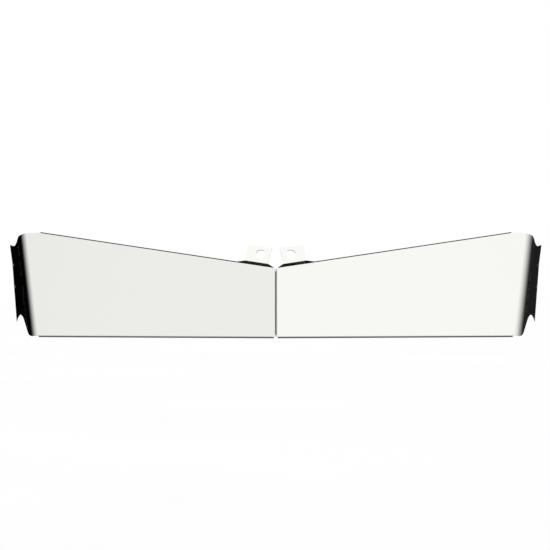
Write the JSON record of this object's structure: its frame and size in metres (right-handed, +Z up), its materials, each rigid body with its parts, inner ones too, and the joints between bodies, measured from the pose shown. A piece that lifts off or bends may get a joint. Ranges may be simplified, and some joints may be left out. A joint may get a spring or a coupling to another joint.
{
  "type": "truck windshield drop sun visor",
  "caption": "Exterior drop sun visor for a conventional truck cab: two polished stainless panels bolted at a centre seam, with rolled ends, side returns and roof tabs.",
  "frame": {"origin": "middle of the visor's width and depth, level with its lowest edge", "axes": "+X to the right of a viewer in front of the truck, front faces -Y, +Z up"},
  "size_m": [1.692, 0.3654, 0.3243],
  "materials": {
    "polished_sheet": "mirror polished stainless",
    "fastener_steel": "plain stainless",
    "rubber": "matte",
    "nylon": "satin"
  },
  "bodies": {
    "root": {"panel_right": "polished_sheet", "panel_left": "polished_sheet", "return_gasket_right": "rubber", "return_gasket_left": "rubber", "tab_pad_right": "rubber", "tab_pad_left": "rubber", "seam_gasket": "rubber", "seam_bolts": "fastener_steel", "head_washers": "fastener_steel", "nut_washers": "fastener_steel", "seam_nuts": "fastener_steel", "nut_inserts": "nylon"}
  },
  "joints": []
}
